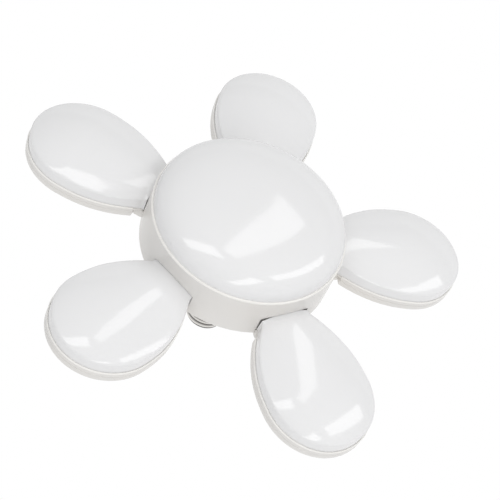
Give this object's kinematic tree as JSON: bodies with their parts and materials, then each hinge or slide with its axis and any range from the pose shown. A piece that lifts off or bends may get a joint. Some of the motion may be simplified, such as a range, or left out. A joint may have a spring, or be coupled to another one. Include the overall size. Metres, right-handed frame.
{
  "type": "folding petal garage lamp",
  "caption": "Hanging garage light: a domed round hub on a vented neck with an E27 screw cap, and egg-shaped LED petals that fold on friction hinges.",
  "frame": {"origin": "on the lamp's axis, at the neck's shoulder that meets the lampholder's mouth", "axes": "+Z along the axis, up out of the screw cap as the lamp hangs; +X along petal 1"},
  "size_m": [0.2796, 0.2899, 0.128],
  "materials": {
    "white_housing": "satin warm white",
    "opal_diffuser": "glossy opal white",
    "board_white": "white solder mask",
    "led": "phosphor yellow",
    "steel": "zinc plated",
    "board_green": "satin solder mask",
    "black_sleeve": "satin sleeve",
    "winding": "enamelled copper",
    "black_chip": "moulded epoxy",
    "resistor_body": "lacquered",
    "lead_sheath": "matt white sheath",
    "supply_sheath": "matt red sheath",
    "nickel_shell": "nickel plated, bright",
    "black_glass": "fused black glass",
    "tinned_contact": "tinned"
  },
  "bodies": {
    "hub": {"hub_housing": "white_housing", "hub_diffuser": "opal_diffuser", "hub_led_board": "board_white", "hub_leds": "led", "hub_board_screws": "steel", "neck_cover": "white_housing", "neck_screws": "steel", "bracket_screws": "steel", "driver_board": "board_green", "driver_screws": "steel", "driver_capacitor": "black_sleeve", "driver_choke": "winding", "driver_rectifier": "black_chip", "fuse_resistor": "resistor_body", "hub_wiring": "lead_sheath", "supply_wires": "supply_sheath", "screw_shell": "nickel_shell", "cap_insulator": "black_glass", "centre_contact": "tinned_contact", "hinge_bracket_1": "steel", "hinge_bracket_2": "steel", "hinge_bracket_3": "steel", "hinge_bracket_4": "steel", "hinge_bracket_5": "steel"},
    "petal_1": {"petal_housing_1": "white_housing", "petal_diffuser_1": "opal_diffuser", "petal_led_board_1": "board_white", "petal_leds_1": "led", "petal_screws_1": "steel", "petal_lead_1": "lead_sheath", "hinge_pin_1": "steel"},
    "petal_2": {"petal_housing_2": "white_housing", "petal_diffuser_2": "opal_diffuser", "petal_led_board_2": "board_white", "petal_leds_2": "led", "petal_screws_2": "steel", "petal_lead_2": "lead_sheath", "hinge_pin_2": "steel"},
    "petal_3": {"petal_housing_3": "white_housing", "petal_diffuser_3": "opal_diffuser", "petal_led_board_3": "board_white", "petal_leds_3": "led", "petal_screws_3": "steel", "petal_lead_3": "lead_sheath", "hinge_pin_3": "steel"},
    "petal_4": {"petal_housing_4": "white_housing", "petal_diffuser_4": "opal_diffuser", "petal_led_board_4": "board_white", "petal_leds_4": "led", "petal_screws_4": "steel", "petal_lead_4": "lead_sheath", "hinge_pin_4": "steel"},
    "petal_5": {"petal_housing_5": "white_housing", "petal_diffuser_5": "opal_diffuser", "petal_led_board_5": "board_white", "petal_leds_5": "led", "petal_screws_5": "steel", "petal_lead_5": "lead_sheath", "hinge_pin_5": "steel"}
  },
  "joints": [
    {"name": "petal_1_fold", "type": "hinge", "parent": "hub", "child": "petal_1", "pos_m": [0.062, 0, -0.0514], "axis": [0, -1, 0], "range_deg": [-7.5, 87.5]},
    {"name": "petal_2_fold", "type": "hinge", "parent": "hub", "child": "petal_2", "pos_m": [0.01916, 0.05897, -0.0514], "axis": [0.9511, -0.309, 0], "range_deg": [-7.5, 87.5]},
    {"name": "petal_3_fold", "type": "hinge", "parent": "hub", "child": "petal_3", "pos_m": [-0.05016, 0.03644, -0.0514], "axis": [0.5878, 0.809, 0], "range_deg": [-8.5, 86.5]},
    {"name": "petal_4_fold", "type": "hinge", "parent": "hub", "child": "petal_4", "pos_m": [-0.05016, -0.03644, -0.0514], "axis": [-0.5878, 0.809, 0], "range_deg": [-9.5, 85.5]},
    {"name": "petal_5_fold", "type": "hinge", "parent": "hub", "child": "petal_5", "pos_m": [0.01916, -0.05897, -0.0514], "axis": [-0.9511, -0.309, 0], "range_deg": [-3, 92]}
  ]
}
